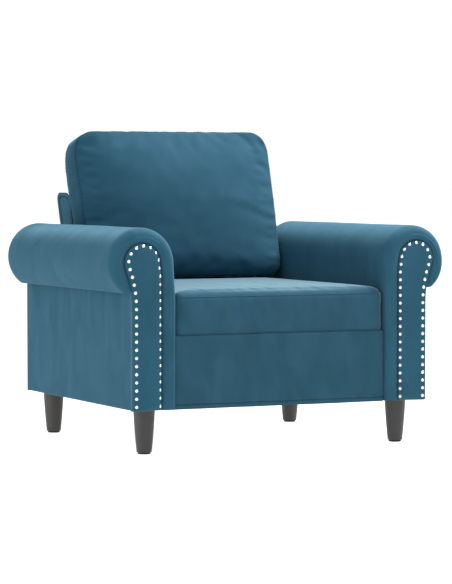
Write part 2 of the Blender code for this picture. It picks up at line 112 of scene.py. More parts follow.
# Planed pine: pale, with darker grain lines about 2 mm apart that run the length of each piece.
ACROSS_GRAIN = 480.0  # streaks in a metre
ALONG_GRAIN = 12.0
pine_along = []
for axis in range(3):
    cells = [ACROSS_GRAIN] * 3
    cells[axis] = ALONG_GRAIN
    pine_along.append(streaked("planed pine " + "XYZ"[axis], "b98c57", "dfbd88", cells, 0.6, 0.0002))
dress(pine_along[0], "base_front_rail", "base_rear_rail", "back_top_rail", "back_bottom_rail")
dress(pine_along[1], "base_left_rail", "base_right_rail")
dress(pine_along[2], "back_left_post", "back_right_post")
# Birch plywood: pale faces with upright grain, and plies 1.5 mm thick that show as bands on its edges.
birch_ply = streaked("birch plywood", "b8925f", "d8b888", (90.0, 660.0, 14.0), 0.62, 0.0001)
dress(birch_ply, "back_support_panel")
# Tempered hardboard: dark brown pressed wood fibre, fine and without direction.
hardboard = streaked("tempered hardboard", "4c3421", "6a4a30", 700.0, 0.7, 0.0001)
for side in ("left", "right"):
    dress(pine_along[1], f"arm_{side}_bottom_rail", f"arm_{side}_top_rail")
    dress(birch_ply, f"arm_{side}_front_board", f"arm_{side}_rear_board")
    dress(hardboard, f"arm_{side}_outer_panel")

# ---- Bolts ----
# Zinc-plated steel bolts: short ones hold each arm to the base and to the back, and long ones hold the
# legs on.
CORNERS = [f"{along}_{side}" for along in ("front", "rear") for side in ("left", "right")]

# Bright zinc plate: pale blue-grey metal, faintly clouded where the plating crystals differ.
zinc_plate = streaked("zinc-plated steel", "a9adb2", "cdd1d6", 260.0, 0.34, 0.00003, 1.0)
for corner in CORNERS:
    dress(zinc_plate, f"arm_bolt_{corner}", f"leg_bolt_{corner}")

# ---- Seat springs ----
# Four lengths of hard-drawn steel wire, bent into zigzags and stretched from the front rail to the rear
# rail.

# Oil-tempered spring wire: dark grey, half shiny, with drawing lines too fine to see.
spring_wire = streaked("oil-tempered spring wire", "4a4d52", "6b6f75", 400.0, 0.38, 0.00003, 1.0)
dress(spring_wire, *(f"seat_spring_{number}" for number in range(1, 5)))

# ---- Deck pad and dust cover ----
# Spun-bonded cloth over the springs under the seat cushion, and the same cloth stapled under the whole
# chair.

# Spun-bonded polypropylene: flat black, pressed with a fine regular bond that scatters the light.
spun_bond = streaked("spun-bonded cloth", "141416", "232327", 900.0, 0.88, 0.0002)
dress(spun_bond, "seat_deck_pad", "dust_cover")

# ---- Foam and fibre ----
# Polyurethane foam over the arms and the back and in the seat cushion, and loose polyester fibre in the
# back cushion.

# Cut polyurethane foam: cream, matt, with open cells under a millimetre across.
cut_foam = streaked("polyurethane foam", "d9cfa6", "efe7c8", 1100.0, 0.92, 0.0004)
dress(cut_foam, "arm_left_foam", "arm_right_foam", "back_foam", "seat_cushion_foam")
# Carded polyester fibre: white, soft, in loose wisps a few centimetres long.
carded_fibre = streaked("polyester fibre", "e4e4e0", "f6f6f3", (60.0, 60.0, 200.0), 0.95, 0.0015)
dress(carded_fibre, "back_cushion_fill")

# ---- Legs ----
# Four turned hardwood legs, tapered to the foot and sprayed with a dark satin lacquer. Each stands on a
# moulded rubber glide.
LEG_TAPER = 0.0081  # how much smaller its radius is at the foot
LEG_SWELL = 0.0007  # how far its side bulges from straight
LEG_EDGE = 0.0016  # softened edges at the top and the foot


def once_round(sides):
    """Equally spaced angles, once round."""
    return [2 * math.pi * i / sides for i in range(sides)]


def join_rings(bm, rings, capped=True):
    """Faces from each ring of points to the next, and caps on the first and the last."""
    for first, second in zip(rings, rings[1:]):
        for i in range(len(first)):
            after = (i + 1) % len(first)
            bm.faces.new((first[i], first[after], second[after], second[i]))
    if capped:
        bm.faces.new(rings[0][::-1])
        bm.faces.new(rings[-1])


def turned(name, profile, centre, sides):
    """A mesh turned about a vertical axis from (radius, height) steps, bottom to top, capped at both ends."""
    bm = bmesh.new()
    rings = []
    for radius, z in profile:
        flat = [(radius * math.cos(t), radius * math.sin(t)) for t in once_round(sides)]
        rings.append([bm.verts.new((centre.x + x, centre.y + y, z)) for x, y in flat])
    join_rings(bm, rings)
    return to_object(name, bm)


def linked(name, data):
    """A new object in the scene, for a mesh, a light or a camera."""
    made = bpy.data.objects.new(name, data)
    bpy.context.scene.collection.objects.link(made)
    return made


def to_object(name, bm, sharp=40):
    """Links a bmesh into the scene as a smooth object whose corners above an angle stay crisp."""
    bmesh.ops.recalc_face_normals(bm, faces=bm.faces)
    mesh = bpy.data.meshes.new(name)
    bm.to_mesh(mesh)
    bm.free()
    mesh.shade_smooth()
    if sharp:
        mesh.set_sharp_from_angle(angle=math.radians(sharp))
    return linked(name, mesh)


def fit_out(made, material, body, slot, *stands_for):
    """Gives a finished piece its material, its body and the CAD nodes that it stands for. The slot is not
    used.
    """
    made.data.materials.clear()
    made.data.materials.append(material)
    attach(made, body)
    if stands_for:
        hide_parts(*stands_for)
    return made


# Sprayed satin lacquer over beech: near-black grey, with the wood's pores just breaking the sheen.
lacquer = streaked("dark satin lacquer", "262626", "2d2d2d", (420.0, 420.0, 60.0), 0.42, 0.00012)
# Moulded rubber: black and matt.
moulded_rubber = streaked("moulded rubber", "121212", "1d1d1d", 500.0, 0.75, 0.0001)
for corner in CORNERS:
    low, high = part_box(f"leg_{corner}")
    centre = (low + high) / 2
    top_radius = (high.x - low.x) / 2
    foot_radius = top_radius - LEG_TAPER
    profile = [(foot_radius - LEG_EDGE, low.z), (foot_radius - 0.3 * LEG_EDGE, low.z + 0.3 * LEG_EDGE)]
    for i in range(12):
        share = i / 11
        swell = LEG_SWELL * math.sin(math.pi * share)
        height = low.z + LEG_EDGE + (high.z - low.z - 2 * LEG_EDGE) * share
        profile.append((foot_radius + (top_radius - foot_radius) * share + swell, height))
    profile.append((top_radius - LEG_EDGE, high.z))
    leg = turned(f"turned_leg_{corner}", profile, centre, 64)
    fit_out(leg, lacquer, CHAIR, "dark_lacquer", f"leg_{corner}")

    low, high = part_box(f"leg_glide_{corner}")
    radius = (high.x - low.x) / 2
    profile = [(0.0125, low.z + 0.0006), (radius - 0.002, low.z), (radius - 0.0005, low.z + 0.0006)]
    profile += [(radius, low.z + 0.0016), (radius, high.z - 0.0004), (radius - 0.0006, high.z)]
    glide = turned(f"glide_{corner}", profile, centre, 40)
    fit_out(glide, moulded_rubber, CHAIR, "glide_rubber", f"leg_glide_{corner}")

# ---- Front border ----
# A board across the front of the base, padded and covered in velvet that is pulled tight over its top edge
# and stapled on the deck. A narrow hem strip is sewn along its foot.
HEM = 0.0095  # height of the strip along the foot
TURN_IN = 0.004  # how far cloth goes in behind an edge
BORDER_EDGE = 0.0032  # rounding where the cloth turns in at the arms


def velvet(name, nap, dark, light, contrast, sheen, tint="9fd3e9", spread_of_sheen=0.33):
    """Cut-pile polyester velvet. The pile is short and dense, so it looks dark seen square on and pale along
    its edges, and where a hand has brushed it the nap lies in soft patches a few centimetres across."""
    material = blank(name)
    place = node(material, "TexCoord", {}).outputs["Object"]
    brushed = node(material, "Mapping", {"Vector": place, "Scale": nap}).outputs["Vector"]
    patch = {"Vector": brushed, "Scale": 1.0, "Detail": 2.5, "Roughness": 0.5, "Distortion": 0.6}
    patch = node(material, "TexNoise", patch).outputs["Fac"]
    spread = 0.18 / contrast
    lie = {"Value": patch, "From Min": 0.5 - spread, "From Max": 0.5 + spread}
    lie = node(material, "MapRange", lie).outputs[0]
    # Tufts are about 0.2 mm apart. They are drawn at 1 mm, the finest that shows.
    tufts = node(material, "TexNoise", {"Vector": place, "Scale": 1000.0, "Detail": 2.0}).outputs["Fac"]
    shades = {"data_type": "RGBA", 0: lie, 6: linear(dark), 7: linear(light)}
    shade = node(material, "Mix", shades).outputs[2]
    pile = node(material, "MapRange", {"Value": tufts, "To Min": 0.86, "To Max": 1.14}).outputs[0]
    speckled = {"data_type": "RGBA", "blend_type": "MULTIPLY", 0: 1.0, 6: shade, 7: pile}
    colour = node(material, "Mix", speckled).outputs[2]
    dull = node(material, "MapRange", {"Value": lie, "To Min": 0.94, "To Max": 0.8}).outputs[0]
    rough = {"Height": patch, "Strength": 0.5, "Distance": 0.0015 * contrast}
    rough = node(material, "Bump", rough).outputs[0]
    rough = {"Height": tufts, "Strength": 0.35, "Distance": 0.0004, "Normal": rough}
    rough = node(material, "Bump", rough).outputs[0]
    looks = {"Base Color": colour, "Roughness": dull, "Normal": rough, "Specular IOR Level": 0.14}
    looks.update({"Sheen Weight": sheen, "Sheen Roughness": spread_of_sheen, "Sheen Tint": linear(tint)})
    return finished(material, looks)


# On upright panels the nap was stroked up and down, so its patches are tall.
stroked_velvet = velvet("teal velvet, stroked upright", (19.0, 19.0, 9.0), "244e5f", "29556a", 0.75, 0.33)
# A darker copy of the same velvet for the narrow and low panels at the front: the darkening is painted shade.
painted_shade_velvet = velvet("teal velvet, darkened as painted shade", (19.0, 19.0, 9.0), "224858", "295163", 0.75, 0.33)


def wander(spot, seed, per_metre=14.0):
    """A smooth unevenness between about -1 and 1, as hand-stretched cloth has."""
    return noise.noise((Vector(spot) + Vector((seed, 0, -seed))) * per_metre) * 1.6


def places(length, radius, spacing=0.009):
    """Places across a padded board: close together round its edges, even between them."""
    turn = [radius * (1 - math.cos(math.radians(a))) for a in (0, 30, 55, 75, 90)]
    inside = np.linspace(radius, length - radius, max(2, int(length / spacing)))[1:-1]
    return turn + inside.tolist() + [length - d for d in reversed(turn)]


def fall(distance, radius):
    """How far a rounded edge drops away, at a distance in from the edge."""
    reach = np.clip(radius - np.asarray(distance), 0, radius)
    return radius - np.sqrt(radius**2 - reach**2)


def sheet_of(name, grid, thickness=0.0014):
    """A cloth surface through a grid of points, with the cloth's own thickness behind it."""
    rows, columns = grid.shape[:2]
    index = np.arange(rows * columns).reshape(rows, columns)
    quads = np.stack([index[:-1, :-1], index[:-1, 1:], index[1:, 1:], index[1:, :-1]], -1).reshape(-1, 4)
    mesh = bpy.data.meshes.new(name)
    mesh.from_pydata(grid.reshape(-1, 3).tolist(), [], quads.tolist())
    made = linked(name, mesh)
    solid = made.modifiers.new("cloth thickness", "SOLIDIFY")
    solid.thickness = thickness
    solid.offset = -1.0
    settle(made)
    return made


def settle(made):
    """Replaces a piece's mesh by what its modifiers make of it, and shades it smooth."""
    graph = bpy.context.evaluated_depsgraph_get()
    final = bpy.data.meshes.new_from_object(made.evaluated_get(graph))
    made.modifiers.clear()
    made.data = final
    final.shade_smooth()


def padded_board(name, corner, across, up, width, height, edge, crown, wave, shape=None, seed=0):
    """A cloth-covered board, from its lower corner: rounded edges that turn in, a faint crown, some wave, and
    a shape of its own."""
    across, up = Vector(across), Vector(up)
    out = across.cross(up)
    us, vs = places(width, edge), places(height, edge)
    grid = []
    for j, v in enumerate([vs[0], *vs, vs[-1]]):
        row = []
        for i, u in enumerate([us[0], *us, us[-1]]):
            turned_in = j in (0, len(vs) + 1) or i in (0, len(us) + 1)
            drop = max(fall(min(u, width - u), edge), fall(min(v, height - v), edge))
            swell = crown * math.sin(math.pi * u / width) * math.sin(math.pi * v / height)
            spot = Vector(corner) + u * across + v * up
            swell += wave * wander(spot, seed) * min(1.0, min(u, width - u, v, height - v) / 0.02)
            swell += shape(u, v) if shape else 0.0
            row.append(spot + out * float(swell - drop - (TURN_IN if turned_in else 0.0)))
        grid.append(row)
    return sheet_of(name, np.array(grid, float))


def square_to(line):
    """The directions square to a flat line, on its left at each of its points."""
    ahead = np.gradient(line, axis=0)
    ahead /= np.linalg.norm(ahead, axis=1)[:, None]
    return np.stack([-ahead[:, 1], ahead[:, 0]], 1)


def wrapped(name, section, start, end, edge, wave, seed=0, taper=0.02):
    """Cloth wrapped along X round a section in Y and Z. Its ends are rounded, and its wave fades there."""
    section = np.array(section, float)
    outward = square_to(section)
    grid = []
    width = end - start
    us = places(width, edge)
    for i, u in enumerate([us[0], *us, us[-1]]):
        drop = float(fall(min(u, width - u), edge)) + (TURN_IN if i in (0, len(us) + 1) else 0.0)
        calm = min(1.0, min(u, width - u) / taper)
        row = []
        for (y, z), (ny, nz) in zip(section, outward):
            lift = wave * calm * wander((start + u, y, z), seed) - drop
            row.append((start + u, y + ny * lift, z + nz * lift))
        grid.append(row)
    return sheet_of(name, np.array(grid, float))


def rounded(points, radius, steps=5):
    """The same open line with its inner corners rounded, and long straight runs divided."""
    line = [Vector(points[0])]
    for a, b, c in zip(points, points[1:], points[2:]):
        a, b, c = Vector(a), Vector(b), Vector(c)
        cut = min(radius, 0.45 * (a - b).length, 0.45 * (c - b).length)
        start, end = b + cut * (a - b).normalized(), b + cut * (c - b).normalized()
        for i in range(steps + 1):
            t = i / steps
            line.append(start.lerp(b, t).lerp(b.lerp(end, t), t))
    line.append(Vector(points[-1]))
    dense = [line[0]]
    for a, b in zip(line, line[1:]):
        parts = max(1, int((b - a).length / 0.009))
        dense += [a.lerp(b, (i + 1) / parts) for i in range(parts)]
    return [tuple(p) for p in dense]


low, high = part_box("front_border")
inner_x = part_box("arm_right_cover")[0].x  # the seat side of an arm, from the middle of the chair
face = low.y
hem_top = low.z + HEM
deck_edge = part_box("seat_deck_pad")[0].y
section = [(face + 0.0060, hem_top + 0.0010), (face + 0.0022, hem_top + 0.0014), (face, hem_top + 0.0042)]
section += [(face, high.z), (deck_edge + 0.004, high.z)]
reach = inner_x - 0.0008
# The border and its hem take the darker copy of the velvet, which paints shade on them.
border = wrapped("front_border_panel", rounded(section, 0.006), -reach, reach, BORDER_EDGE, 0.0005)
fit_out(border, painted_shade_velvet, CHAIR, "velvet", "front_border")
section = [(face + 0.012, low.z + 0.0004), (face + 0.0012, low.z)]
section += [(face + 0.0006, hem_top - 0.001), (face + 0.006, hem_top)]
hem = wrapped("front_hem_strip", rounded(section, 0.0018), -reach, reach, 0.0022, 0.0003, 3)
fit_out(hem, painted_shade_velvet, CHAIR, "velvet")

# ---- Deck ----
# Black spun-bonded cloth over thin wadding, stretched on the springs behind the border. The seat cushion
# hides it.
DECK_GAP = 0.0008  # between the deck and the border, and at the rear
low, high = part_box("seat_deck_pad")
deck = padded_board(
    "deck_cloth_panel", (low.x, low.y + DECK_GAP, high.z), (1, 0, 0), (0, 1, 0), high.x - low.x,
    high.y - low.y - 2 * DECK_GAP, 0.004, -0.0015, 0.0008,
)
fit_out(deck, spun_bond, CHAIR, "deck_cloth", "seat_deck_pad")

# ---- Dust cover ----
# One piece of the same cloth, its edges folded in and stapled to the underside of the rails all round. It
# hangs a little slack between them.
low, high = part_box("dust_cover")
width, length = high.x - low.x, high.y - low.y
grid = []
for v in places(length, 0.012, 0.02):
    row = []
    for u in places(width, 0.012, 0.02):
        slack = min(1.0, min(u, width - u, v, length - v) / 0.05)
        dip = 0.0016 * slack * (0.6 + 0.4 * wander((u, v, 0), 5, 9.0))
        row.append((low.x + u, low.y + v, high.z - 0.0004 - dip))
    grid.append(row)
dust_sheet = sheet_of("dust_cover_sheet", np.array(grid, float)[::-1], 0.0004)
fit_out(dust_sheet, spun_bond, CHAIR, "dust_cloth", "dust_cover")

# ---- Arms ----
# Each arm is a box of rails and boards with a foam roll along its top. One piece of velvet comes up the
# seat side, goes over the roll and tucks in under it. The outer side, the rear and the narrow front panel
# are laid on after. Both arms are made as the right one, and the left one is then turned over.
SIDE_X = 0.408  # the outer panel, measured from the middle of the chair
ROLL_RADIUS = 0.087
TUCK_Z = 0.3980  # height of the crease under the roll
ROLL_END = math.radians(-55.5)  # where the cover leaves the roll, seen from its middle
# The crease, as steps out from the outer panel and up from its height.
TUCK = ((0.0125, -0.0006), (0.0075, -0.0010), (0.0030, -0.0002), (-0.0006, 0.0020), (-0.0034, 0.0055))
REAR_ROUND = 0.015  # rounding of the cover's rear edge
LOW_ROUND, HIGH_ROUND = 0.0085, 0.0240  # rounding of its front edge, low down and over the roll
SET_BACK = 0.0008  # how far the cover's front lies behind the front panel's face
STRIP_PUFF = 0.0003  # how far the padded strip beside the front panel stands out in its middle
GROOVE = 0.0125  # depth of the groove round the front panel
INNER_ROUND = 0.0125  # rounding of the front panel along its inner edge, which that row of nails sits on
OUTER_ROUND = 0.0036
NAIL_RADIUS = 0.0046
NAIL_SIDES = 16
NAIL_STEPS = 6  # points along the front panel's edge from each nail to the next
DENT, DENT_REACH = 0.0013, 0.0062  # of the cloth round each nail
low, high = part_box("arm_right_cover")
rear_y, foot_z = high.y, low.z
roll_x, roll_z = high.x - ROLL_RADIUS, high.z - ROLL_RADIUS
front_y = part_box("arm_right_facing")[0].y


def nail_spots():
    """The right arm's nails in X and Z, from the inner foot, over the roll, to the outer foot."""
    corners = [v.co for v in nodes["arm_right_nails"].data.vertices]
    tip = min(co.y for co in corners)
    left = {(round(co.x, 5), round(co.z, 5)) for co in corners if co.y < tip + 0.0002}
    found = [min(left, key=lambda p: p[0] + p[1])]
    left.remove(found[0])
    while left:
        found.append(min(left, key=lambda p: math.dist(p, found[-1])))
        left.remove(found[-1])
    return np.array(found)


def smooth_line(points, steps):
    """A smooth line through points, with a number of steps between each two."""
    ends = np.vstack([2 * points[0] - points[1], points, 2 * points[-1] - points[-2]])
    line = []
    for a, b, c, d in zip(ends, ends[1:], ends[2:], ends[3:]):
        for i in range(steps):
            t = i / steps
            line.append(0.5 * (2 * b + (c - a) * t + (2 * a - 5 * b + 4 * c - d) * t**2
                               + (3 * b - a - 3 * c + d) * t**3))
    return np.array(line + [points[-1]])


spots = nail_spots()
row_line = smooth_line(spots, NAIL_STEPS)
outward = square_to(row_line)
# The edge of the front panel runs outside the nails, a little further from them on the outer side.
margin = 0.0045 + 0.0040 * np.maximum(0, outward[:, 0]) ** 2
facing_edge = row_line + outward * margin[:, None]
crest = int(np.argmax(facing_edge[:, 1]))
rounding_at = np.interp(outward[:, 0], (-0.7, 0.7), (INNER_ROUND, OUTER_ROUND))
inner_edge, outer_edge = facing_edge[: crest + 1], facing_edge[crest:][::-1]


def edge_x(edge, z):
    """Where an edge of the front panel is at a height. It runs straight down to the foot."""
    return np.interp(z, edge[:, 1], edge[:, 0])


def reach_to_edge(angle):
    """How far the front panel's edge is from the middle of the roll, in one direction."""
    arms = facing_edge - (roll_x, roll_z)
    arms = arms[facing_edge[:, 1] > TUCK_Z - 0.02]
    turns = np.unwrap(np.arctan2(arms[:, 1], arms[:, 0]))
    turns += 2 * math.pi * (turns[0] < 0)
    lengths = np.hypot(arms[:, 0], arms[:, 1])
    order = np.argsort(turns)
    return np.interp(angle, turns[order], lengths[order])


def arm_section():
    """The cover's section in X and Z, and the point on the front panel's edge beside each of its points."""
    cover, beside = [], []
    foot = [foot_z, foot_z, foot_z + 0.0004, foot_z + 0.0015]
    for z in [*foot, *np.linspace(foot_z + 0.008, roll_z, 44)[:-1]]:
        cover.append((inner_x + (0.0012 if z < foot_z + 0.0002 else 0.0), z))
        beside.append((edge_x(inner_edge, z), z))
    for turn in np.linspace(math.pi, ROLL_END, 58):
        cover.append((roll_x + ROLL_RADIUS * math.cos(turn), roll_z + ROLL_RADIUS * math.sin(turn)))
        reach = reach_to_edge(turn)
        beside.append((roll_x + reach * math.cos(turn), roll_z + reach * math.sin(turn)))
    start_z = beside[-1][1]
    for i, (dx, dz) in enumerate(TUCK, 1):
        cover.append((SIDE_X + dx, TUCK_Z + dz))
        z = start_z + (TUCK_Z - 0.0005 - start_z) * i / len(TUCK)
        beside.append((edge_x(outer_edge, z) + 0.0005, z))
    return np.array(cover), np.array(beside)


def front_edge(width, height):
    """The cover's way from the front panel's edge to the length of the arm: into the groove, over the padded
    strip and round its front edge. Its steps are a distance from the panel's edge, a depth behind the panel's
    face, and how far the edge has turned."""
    upness = min(1.0, max(0.0, (height - 0.37) / 0.13))
    rounding = LOW_ROUND + (HIGH_ROUND - LOW_ROUND) * upness * upness * (3 - 2 * upness)
    turn = min(rounding, 0.62 * width)
    shoulder = min(0.0150, 0.42 * width)
    depth = min(GROOVE, 0.25 * width + 0.004)
    line = []
    for a in np.radians((0, 18, 36, 54, 72, 90)):
        line.append((shoulder * (1 - math.cos(a)), SET_BACK + depth * (1 - math.sin(a)), 0.0))
    for share in (0.2, 0.4, 0.6, 0.8):
        puff = STRIP_PUFF * math.sin(math.pi * share)
        line.append((shoulder + (width - turn - shoulder) * share, SET_BACK - puff, 0.0))
    for a in np.radians((0, 12, 24, 36, 48, 60, 70, 80, 90)):
        line.append((width - turn + turn * math.sin(a), SET_BACK + 1.1 * turn * (1 - math.cos(a)), a))
    return line


def arm_cover(seed):
    """The right arm's cover: round the front panel's groove, over the padded strip and along the arm."""
    cover, beside = arm_section()
    roll_end = len(cover) - len(TUCK) - 1
    end = rear_y - REAR_ROUND
    grid = []
    for k, (spot, edge) in enumerate(zip(cover, beside)):
        gap = spot - edge
        width = math.hypot(*gap)
        gap = gap / max(width, 1e-6)
        row = []
        under = 0.007 if k == 0 else 0.0  # the first row is folded in under the foot
        for distance, back, turned_by in front_edge(width, spot[1]):
            x, z = edge + gap * distance
            inwards = under * np.array((math.sin(turned_by), math.cos(turned_by)))
            row.append((x + inwards[0], front_y + back + inwards[1], z))
        start = row[-1][1]
        out = np.array((spot[0] - roll_x, max(0.0, spot[1] - roll_z)))
        out = out / np.hypot(*out) if k < roll_end else np.zeros(2)
        near_crease = min(1.0, (len(cover) - k) / 12)
        for share in np.linspace(0, 1, 60)[1:]:
            y = start + (end - start) * share
            calm = min(1.0, share / 0.06, (1 - share) / 0.06)
            lift = 0.0007 * wander((spot[0], y, spot[1]), seed, 11.0) * calm * near_crease
            x, z = spot + out * (lift if spot[1] > roll_z - 0.03 else 0.4 * lift)
            row.append((x + under, y, z))
        inside = np.array((0.35, min(spot[1], roll_z))) - spot
        inside = inside / np.hypot(*inside)
        for a in np.radians((20, 40, 60, 80, 90)):
            x, z = spot + inside * REAR_ROUND * (1 - math.cos(a)) * (1.0 if k > 3 else 0.6)
            row.append((x, end + REAR_ROUND * math.sin(a), max(z, foot_z)))
        x, z = spot + inside * (REAR_ROUND + TURN_IN)
        row += [(x, y, max(z, foot_z)) for y in (end + REAR_ROUND, end + REAR_ROUND - TURN_IN)]
        grid.append(row)
    return sheet_of("arm_cover", np.array(grid, float)[::-1])


def tongue(name, left, right, heights, shares, face, turn_in, edge, relief, out=-1):
    """A flat cloth panel between two edges that are given by height, rounded all round where it turns in, and
    hollowed by its relief. It faces forwards, or to the rear if out is 1."""
    outline = np.array([(left(z), z) for z in heights] + [(right(z), z) for z in heights[::-1]])
    outline = np.vstack([outline, outline[:1]])
    grid = np.zeros((len(heights), len(shares), 3))
    for j, z in enumerate(heights):
        grid[j, :, 0] = left(z) + (right(z) - left(z)) * np.array(shares)
        grid[j, :, 2] = z
    flat = grid[:, :, [0, 2]].reshape(-1, 2)
    nearest = np.full(len(flat), 1.0)
    for a, b in zip(outline, outline[1:]):
        span = b - a
        size = float(span @ span)
        share = np.clip((flat - a) @ span / size, 0, 1) if size > 0 else np.zeros(len(flat))
        nearest = np.minimum(nearest, np.linalg.norm(flat - a - share[:, None] * span, axis=1))
    drop = fall(nearest, edge) + relief(flat, nearest)
    grid[:, :, 1] = face - out * drop.reshape(grid.shape[:2])
    grid = np.pad(grid, ((1, 1), (1, 1), (0, 0)), mode="edge")
    for ring in (grid[0], grid[-1], grid[:, 0], grid[:, -1]):
        ring[:, 1] = face - out * turn_in
    return sheet_of(name, grid[::out], 0.0012)


def nail_dents(flat, nearest):
    """How deep the cloth is pulled in round each nail, less the swell of the wadding between the two rows."""
    dent = np.zeros(len(flat))
    for spot in spots:
        away = np.linalg.norm(flat - spot, axis=1)
        dent = np.maximum(dent, DENT * np.exp(-((away / DENT_REACH) ** 2)))
    return dent - 0.0016 * np.clip((nearest - 0.006) / 0.03, 0, 1)


def front_panel():
    """The narrow panel on the front of the right arm."""
    top = facing_edge[crest, 1]
    arc = 0.0445  # height of its rounded top
    heights = [foot_z + 0.0003, foot_z + 0.0007, foot_z + 0.0018, foot_z + 0.0034]
    heights += list(np.linspace(foot_z + 0.006, top - arc, 140))
    heights += [top - arc * (1 - math.sin(a)) for a in np.linspace(0, math.pi / 2, 26)[1:]]
    # Shares of the width, close together where the nails pull the cloth in.
    close = [0, 0.008, 0.022, 0.042, 0.065, 0.09, 0.115, 0.14, 0.165, 0.19, 0.22, 0.26, 0.32, 0.4]
    shares = close + [0.5] + [1 - s for s in reversed(close)]
    rounding = np.interp(shares, (0.25, 0.75), (INNER_ROUND, OUTER_ROUND))
    return tongue(
        "arm_front_panel", lambda z: edge_x(inner_edge, z), lambda z: edge_x(outer_edge, z),
        heights, shares, front_y, 0.0135, np.tile(rounding, len(heights)), nail_dents,
    )


def rear_panel(seed):
    """The panel that closes the rear of the right arm, with a soft edge inside the cover's turn."""
    radius = ROLL_RADIUS - REAR_ROUND

    def right(z):
        # Just above the crease it reaches out to the cover, which has hardly begun to turn there.
        reach = radius + 0.009 * max(0.0, 1 - max(0.0, z - TUCK_Z) / 0.03)
        roll = roll_x + math.sqrt(max(0.0, reach**2 - (z - roll_z) ** 2))
        return SIDE_X - 0.0015 if z < TUCK_Z else max(SIDE_X - 0.0015, roll)

    def left(z):
        roll = roll_x - math.sqrt(max(0.0, radius**2 - (z - roll_z) ** 2))
        return inner_x + REAR_ROUND if z < roll_z else roll

    heights = [foot_z + 0.0005, foot_z + 0.0012, foot_z + 0.003, foot_z + 0.006]
    heights += list(np.linspace(foot_z + 0.012, TUCK_Z - 0.001, 34))
    heights += [TUCK_Z + rise for rise in (0.0, 0.002, 0.0045, 0.008, 0.012)]
    heights += list(np.linspace(TUCK_Z + 0.018, roll_z, 9))
    heights += [roll_z + radius * math.sin(a) for a in np.linspace(0, math.pi / 2, 16)[1:]]
    shares = [0, 0.012, 0.03, 0.06, 0.1, 0.18, 0.28, 0.39, 0.5, 0.61, 0.72, 0.82, 0.9, 0.94, 0.97, 0.988, 1]

    def relief(flat, nearest):
        lift = np.array([0.0008 * wander((x, 0.3, z), seed, 12.0) for x, z in flat])
        return -lift * np.clip(nearest / 0.03, 0, 1)

    return tongue("arm_rear_panel", left, right, heights, shares, rear_y + 0.0012, 0.006, 0.003, relief, 1)


outer_height = 0.2925
outer_length = rear_y - front_y - 0.0075


def puckers(seed):
    """Shallow upright folds at the top of the outer panel, where the cloth is gathered under the roll."""

    def shape(u, v):
        fade = math.exp(-(0.290 - v) / 0.055)
        fold = noise.noise(Vector((u * 55.0 + seed, v * 3.0, seed)))
        broad = noise.noise(Vector((u * 16.0, v * 5.0, seed + 9)))
        calm = min(1.0, min(u, 0.703 - u) / 0.03, (v + 0.002) / 0.03)
        return (0.0016 * fade * fold + 0.0011 * broad) * calm

    return shape


def nail_row():
    """Domed nail heads along the right arm's row, each square to the cloth, so those near its edge tilt."""
    bm = bmesh.new()
    # Shares of the head's radius, and depths behind the cloth.
    profile = [(1.0, 0.0008), (0.98, -0.0003), (0.90, -0.0010), (0.74, -0.0016)]
    profile += [(0.50, -0.0021), (0.25, -0.0024)]
    for number, (x, z) in enumerate(spots):
        at = min(NAIL_STEPS * number, len(margin) - 1)
        lean = math.asin(max(0.0, 1 - margin[at] / rounding_at[at]))
        out = Vector((outward[at][0] * math.sin(lean), -math.cos(lean), outward[at][1] * math.sin(lean)))
        along = Vector((-outward[at][1], 0, outward[at][0]))
        across = out.cross(along)
        middle = Vector((x, front_y + rounding_at[at] * (1 - math.cos(lean)), z))
        rings = []
        for share, back in profile:
            radius = NAIL_RADIUS * share
            ring = [radius * (math.cos(t) * along + math.sin(t) * across) for t in once_round(NAIL_SIDES)]
            rings.append([bm.verts.new(middle - out * back + spot) for spot in ring])
        join_rings(bm, rings, capped=False)
        peak = bm.verts.new(middle + out * 0.0025)
        for i in range(NAIL_SIDES):
            bm.faces.new((rings[-1][i], rings[-1][(i + 1) % NAIL_SIDES], peak))
        bm.faces.new(rings[0][::-1])
    return to_object("arm_nail_row", bm, 0)


# Polished nickel plate on pressed steel heads: bright silver, with hairline scratches from handling.
nickel = streaked("polished nickel", "e6e6e6", "f8f8f8", (900.0, 900.0, 300.0), 0.28, 0.00002, 1.0)
for side, word, seed in ((1, "right", 2.0), (-1, "left", 7.0)):
    cover = arm_cover(seed)
    outer = padded_board(
        "arm_outer_panel", (SIDE_X, front_y + 0.0052, foot_z), (0, 1, 0), (0, 0, 1),
        outer_length, outer_height, 0.0045, 0.0008, 0.0003, puckers(seed), seed,
    )
    panel, rear, nails = front_panel(), rear_panel(seed), nail_row()
    for piece, kind, material, slot, stands_for in (
        (cover, "cover", stroked_velvet, "velvet", [f"arm_{word}_cover"]),
        (outer, "outer_cloth", stroked_velvet, "velvet", []),
        (panel, "front_panel", stroked_velvet, "velvet", [f"arm_{word}_facing"]),
        (rear, "rear_panel", stroked_velvet, "velvet", []),
        (nails, "nail_row", nickel, "nail_heads", [f"arm_{word}_nails"]),
    ):
        piece.name = f"arm_{word}_{kind}_visual"
        if side < 0:
            piece.data.transform(Matrix.Scale(-1, 4, (1, 0, 0)))
            piece.data.flip_normals()
        fit_out(piece, material, CHAIR, slot, *stands_for)

# ---- Back frame ----
# Posts and rails with a foam front, under one piece of velvet that runs up the front, over the top and down
# the rear. A flat gusset closes each end, sewn to it with a plain seam.
BACK_EDGE = 0.0045  # rounding of the wrap at each end
BACK_LEAN = math.tan(math.radians(18.5))
FRONT_KNEE, REAR_KNEE = 0.410, 0.424  # heights above which the back leans
GUSSET_ARC = 0.012  # height of the rounding at a gusset's top
GUSSET_STEPS = 22
SEAM_INSET = 0.0026  # from the wrap's edge to the seam of a gusset


